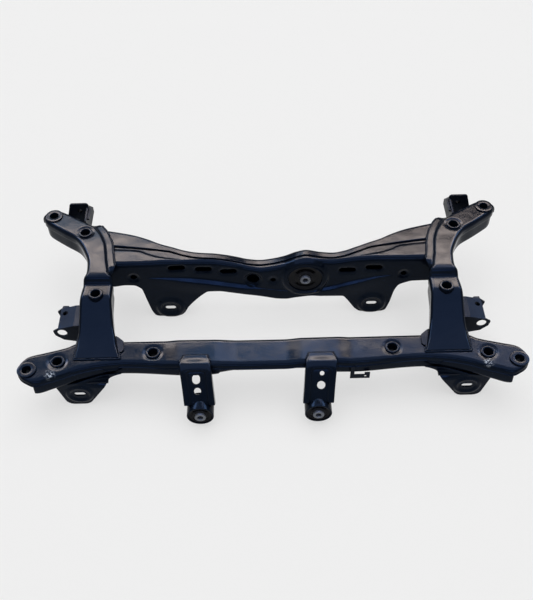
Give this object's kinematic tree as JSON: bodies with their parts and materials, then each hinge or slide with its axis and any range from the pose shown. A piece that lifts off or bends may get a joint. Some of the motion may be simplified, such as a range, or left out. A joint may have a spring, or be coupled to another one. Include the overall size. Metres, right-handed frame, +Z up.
{
  "type": "subframe",
  "caption": "Welded sheet-steel rear subframe: pressed cross beams and curved side rails with body-mount eyes, differential bushes and suspension-arm brackets, coated gloss black.",
  "frame": {"origin": "middle of the bounding box in plan, on the floor that the lower-arm ears stand on", "axes": "+X across the vehicle, +Y towards the far beam with the rear differential bush, +Z up"},
  "size_m": [1.122, 0.576, 0.203],
  "materials": {
    "coated_steel": "gloss black dip coat",
    "rubber": "moulded rubber",
    "bare_steel": "plain turned steel"
  },
  "bodies": {
    "root": {"front_beam_upper": "coated_steel", "front_beam_lower": "coated_steel", "rear_beam_front": "coated_steel", "rear_beam_rear": "coated_steel", "left_rail_upper": "coated_steel", "right_rail_upper": "coated_steel", "left_rail_lower": "coated_steel", "right_rail_lower": "coated_steel", "front_left_collar": "coated_steel", "front_right_collar": "coated_steel", "rear_left_collar": "coated_steel", "rear_right_collar": "coated_steel", "wing_tubes": "coated_steel", "arm_tubes": "coated_steel", "rail_tubes": "coated_steel", "beam_tubes": "coated_steel", "left_diff_bracket": "coated_steel", "right_diff_bracket": "coated_steel", "left_bush_sleeve": "coated_steel", "left_bush_rubber": "rubber", "left_bush_core": "bare_steel", "right_bush_sleeve": "coated_steel", "right_bush_rubber": "rubber", "right_bush_core": "bare_steel", "rear_bush_sleeve": "coated_steel", "rear_bush_rubber": "rubber", "rear_bush_core": "bare_steel", "left_front_arm_bracket": "coated_steel", "right_front_arm_bracket": "coated_steel", "left_rear_arm_plate": "coated_steel", "right_rear_arm_plate": "coated_steel", "left_link_bracket": "coated_steel", "right_link_bracket": "coated_steel", "left_tower_bracket": "coated_steel", "right_tower_bracket": "coated_steel", "left_corner_gusset": "coated_steel", "right_corner_gusset": "coated_steel", "harness_bracket": "coated_steel", "link_weld_nuts": "coated_steel"}
  },
  "joints": []
}
